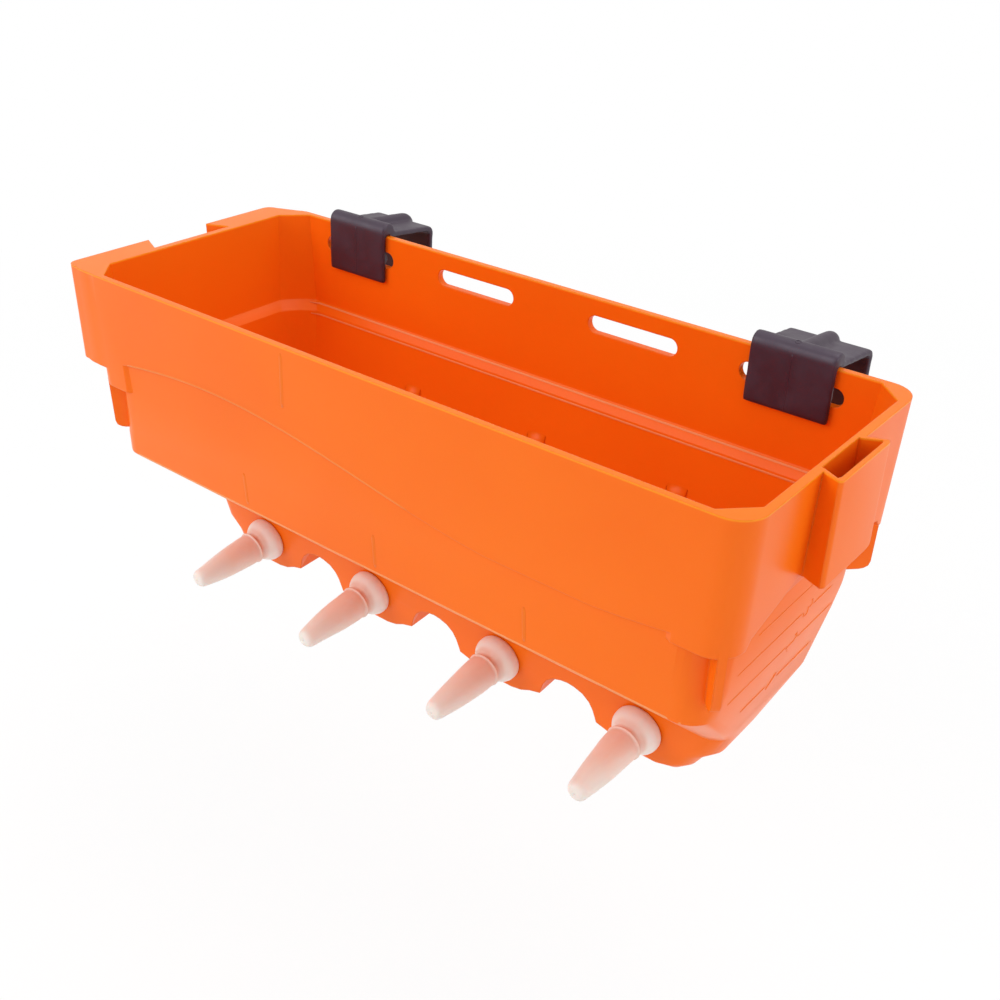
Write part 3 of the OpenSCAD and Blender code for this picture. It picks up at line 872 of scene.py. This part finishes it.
@dataclass
class Teat:
    """One pull-through rubber teat, turned about its axis with the unevenness of dipped rubber.

    Lengths are millimetres, and angles round the axis are radians.
    """

    number: int
    finish: bpy.types.Material
    lean: float
    face: tuple[float, float] = (-112.9, -198.0)
    tilt: float = 4.3
    around: int = 96
    bend_from: float = 12.0
    bend_scale: float = 2700.0
    nipple_from: float = 12.5
    nipple_lump: float = 0.34
    flange_lump: float = 0.14
    seam_at: float = 1.95
    seam_w: float = 0.05
    seam_h: float = 0.20
    seam_fades: float = 20.0
    seam_faint: float = 0.4
    # the skin stays even nearer to the pod face than this, and inside this radius
    even_out: float = 0.5
    even_radius: float = 5.0
    # size of the lumps round and along the teat, and how far each teat's lumps are shifted
    lump_round: float = 0.9
    lump_along: float = 14.0
    lump_shift: float = 7.3
    # radius and distance from the pod face, from the bore outwards and over the tip
    section: Stroke = (
        (6.7, -9.5), (10.5, -9.5), (13.3, -6.1), (13.9, -4.5), (13.5, -3.5), (9.9, -3.5),
        (9.9, 0.1), (14.3, 0.12), (15.0, 0.6), (15.4, 1.5), (15.5, 2.6), (15.5, 3.8),
        (15.4, 4.9), (15.1, 5.9), (14.7, 6.9), (14.1, 7.9), (13.4, 8.9), (12.7, 9.8),
        (12.0, 10.7), (11.4, 11.5), (10.9, 12.2), (10.5, 12.7), (10.1, 13.3), (9.9, 14.1),
        (9.95, 15.0), (10.2, 15.5), (10.8, 15.7), (11.25, 16.0), (11.4, 16.4), (11.25, 16.8),
        (10.8, 17.1), (10.5, 17.5), (10.55, 18.5), (10.6, 22.0), (10.3, 28.0), (9.85, 34.0),
        (9.3, 40.0), (8.65, 46.0), (7.9, 51.5), (7.2, 56.0), (6.75, 59.0), (6.45, 61.0),
        (6.1, 62.3), (5.5, 63.4), (4.7, 64.2), (3.6, 64.65), (2.2, 64.8), (0.8, 64.75),
        (0.25, 64.5), (0.25, 62.8), (3.4, 60.6), (4.4, 57.5), (5.4, 51.0), (6.8, 40.0),
        (7.9, 28.0), (8.2, 18.0), (7.6, 10.0), (6.7, 2.0))

    def build(self) -> bpy.types.Object:
        """Makes the teat in place of its plain CAD solid.

        Returns:
            The new piece.
        """
        node = f"teat_{self.number}"
        low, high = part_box(node)
        root = Vector((0.5 * (low.x + high.x), *(v * MM for v in self.face)))
        root += Vector((0.0, RAIL_SHIFT.y, RAIL_SHIFT.z))
        tip = math.radians(self.tilt)
        along = Vector((0.0, -math.cos(tip), -math.sin(tip)))
        side = Vector((1.0, 0.0, 0.0))
        up = side.cross(along)
        mesh = bmesh.new()
        rings = []
        for radius, out in self.section:
            ring = []
            for k in range(self.around):
                turn = math.tau * k / self.around
                push = radius + self._unevenness(radius, out, turn)
                bend = self.lean * max(out - self.bend_from, 0.0) ** 2 / self.bend_scale
                spot = (along * out + side * (push * math.cos(turn) + bend)
                        + up * push * math.sin(turn))
                ring.append(mesh.verts.new(root + spot * MM))
            rings.append(ring)
        bridge(mesh, rings + rings[:1])
        made = new_piece(f"teat_{self.number}_rubber", mesh, self.finish)
        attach(made, "trough")
        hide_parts(node)
        log.info("%s turned", made.name)
        return made

    def _unevenness(self, radius: float, out: float, turn: float) -> float:
        """Soft lumps on the nipple and the fine mould seam on both sides.

        Args:
            radius: Radius of the ring.
            out: Distance from the pod face.
            turn: Angle round the axis.

        Returns:
            How far the skin stands out from the turned section.
        """
        if out < self.even_out or radius < self.even_radius:
            return 0.0
        where = Vector((math.cos(turn) * self.lump_round, math.sin(turn) * self.lump_round,
                        out / self.lump_along + self.lump_shift * self.number))
        size = self.nipple_lump if out > self.nipple_from else self.flange_lump
        lumps = size * noise.noise(where)
        seam = sum(math.exp(-((math.remainder(turn - at, math.tau) / self.seam_w) ** 2))
                   for at in (self.seam_at, self.seam_at + math.pi))
        return lumps + self.seam_h * seam * (1.0 if out < self.seam_fades else self.seam_faint)


@dataclass
class Softbox:
    """One large square studio light."""

    name: str
    at: tuple[float, float, float]
    size: float
    watts: float
    aim: tuple[float, float, float] = (0.0, -0.1, -0.08)

    def build(self) -> bpy.types.Object:
        """Makes the light and turns it to the feeder.

        Returns:
            The light.
        """
        data = bpy.data.lights.new(self.name, "AREA")
        data.size = self.size
        data.energy = self.watts
        made = bpy.data.objects.new(self.name, data)
        bpy.context.scene.collection.objects.link(made)
        made.location = self.at
        way = Vector(self.aim) - Vector(self.at)
        made.rotation_euler = way.to_track_quat("-Z", "Y").to_euler()
        return made


@dataclass
class Studio:
    """Pale floor, soft light and the camera at the photograph's angle."""

    floor_z: float = -0.42
    floor_half_w: float = 9.0
    floor_front: float = -6.0
    floor_back: float = 6.0
    floor_bend: float = 1.5
    backdrop_h: float = 6.0
    azimuth: float = 37.954
    elevation: float = 29.933
    roll: float = 1.533
    focal_px: float = 1208.95
    picture_px: float = 1000.0
    centre_px: tuple[float, float] = (8.06, 2.37)
    eye: tuple[float, float, float] = (0.4284, -0.6127, 0.26746)
    clip: tuple[float, float] = (0.05, 60.0)
    room_light: float = 0.70
    lights: list[Softbox] = field(default_factory=lambda: [
        Softbox("key_softbox", (-1.2, -1.85, 1.2), 1.6, 22.5),
        Softbox("top_softbox", (0.3, 0.3, 1.8), 1.6, 14.0),
        Softbox("side_softbox", (1.9, 0.2, 0.6), 1.2, 7.5)])

    def build(self) -> None:
        """Makes the floor, world, lights and camera."""
        self._floor()
        self._world()
        for light in self.lights:
            light.build()
        self._camera()
        bpy.context.scene.view_settings.view_transform = "Standard"
        log.info("studio set")

    def _floor(self) -> None:
        """Lays the sheet of paper that runs up into a backdrop far behind."""
        mesh = bmesh.new()
        outline = [(self.floor_front, self.floor_z)]
        for a in (math.radians(9 * k) for k in range(11)):
            outline.append((self.floor_back + self.floor_bend * math.sin(a),
                            self.floor_z + self.floor_bend * (1 - math.cos(a))))
        outline.append((self.floor_back + self.floor_bend, self.floor_z + self.backdrop_h))
        ends = (-self.floor_half_w, self.floor_half_w)
        rows = [[mesh.verts.new((x, y, z)) for x in ends] for y, z in outline]
        for a, b in zip(rows, rows[1:]):
            mesh.faces.new((a[0], a[1], b[1], b[0]))
        data = bpy.data.meshes.new("paper")
        mesh.to_mesh(data)
        mesh.free()
        made = bpy.data.objects.new("studio_paper", data)
        bpy.context.scene.collection.objects.link(made)
        for face in data.polygons:
            face.use_smooth = True
        made.rotation_euler = (0.0, 0.0, math.radians(self.azimuth))
        data.materials.append(PaperFloor().material())

    def _world(self) -> None:
        """Fills the room with even white light, and shows pure white behind the object."""
        world = bpy.data.worlds.new("studio")
        bpy.context.scene.world = world
        world.use_nodes = True
        tree = world.node_tree
        light = tree.nodes["Background"]
        light.inputs["Color"].default_value = WHITE
        light.inputs["Strength"].default_value = self.room_light
        seen = tree.nodes.new("ShaderNodeBackground")
        seen.inputs["Color"].default_value = WHITE
        seen.inputs["Strength"].default_value = 1.0
        rays = tree.nodes.new("ShaderNodeLightPath")
        total = rays.outputs["Is Camera Ray"]
        for kind in ("Is Glossy Ray", "Is Transmission Ray"):
            either = tree.nodes.new("ShaderNodeMath")
            either.operation = "MAXIMUM"
            tree.links.new(total, either.inputs[0])
            tree.links.new(rays.outputs[kind], either.inputs[1])
            total = either.outputs[0]
        mix = tree.nodes.new("ShaderNodeMixShader")
        tree.links.new(total, mix.inputs[0])
        tree.links.new(light.outputs[0], mix.inputs[1])
        tree.links.new(seen.outputs[0], mix.inputs[2])
        tree.links.new(mix.outputs[0], tree.nodes["World Output"].inputs["Surface"])

    def _camera(self) -> None:
        """Stands the camera where the photograph was taken from."""
        a, e, r = (math.radians(v) for v in (self.azimuth, self.elevation, self.roll))
        back = Vector((math.sin(a) * math.cos(e), -math.cos(a) * math.cos(e), math.sin(e)))
        right = (-back).cross(Vector((0.0, 0.0, 1.0))).normalized()
        up = right.cross(-back)
        across = math.cos(r) * right + math.sin(r) * up
        above = math.cos(r) * up - math.sin(r) * right
        data = bpy.data.cameras.new("camera")
        data.sensor_width = SENSOR_MM
        data.lens = SENSOR_MM * self.focal_px / self.picture_px
        data.shift_x = -self.centre_px[0] / self.picture_px
        data.shift_y = -self.centre_px[1] / self.picture_px
        data.clip_start, data.clip_end = self.clip
        made = bpy.data.objects.new("camera", data)
        bpy.context.scene.collection.objects.link(made)
        turn = Matrix((across, above, back)).transposed().to_4x4()
        turn.translation = Vector(self.eye)
        made.matrix_world = turn
        bpy.context.scene.camera = made


def main() -> None:
    """Builds the studio and dresses the feeder, piece by piece."""
    logging.basicConfig(level=logging.INFO, format="%(name)s: %(message)s")
    Studio().build()
    hard = SoftShading(degrees=25.0)
    plain = MouldedOrange(rounding=0.0)
    # painted highlight: a paler, washed orange for the beads on the belly crease and inner
    # ledge
    wear_and_painted_highlight = MouldedOrange(body=(0.92, 0.32, 0.12), deep=(0.90, 0.27, 0.09), rounding=0.0)
    # painted highlight: a paler orange for the line on the left part of the band's waved border
    lit = MouldedOrange(body=(0.90, 0.24, 0.045), deep=(0.88, 0.21, 0.030), rounding=0.0)
    trough = Trough(finish=MouldedOrange().material(), marks=plain.material(),
                    wear_and_painted_highlight=wear_and_painted_highlight.material(), lit=lit.material(), shading=hard)
    trough.dress()
    trough.level_marks()
    trough.mould_lines()
    trough.band_edge()
    trough.painted_highlight_edges()
    trough.ridge_tips()
    nylon = DarkNylon().material()
    for side in Side:
        hook = Hook(side, nylon, hard)
        hook.dress()
        hook.parting_line()
    rubber = PinkRubber().material()
    for number, lean in enumerate(LEANS, 1):
        Teat(number, rubber, lean).build()


if __name__ == "__main__":
    main()
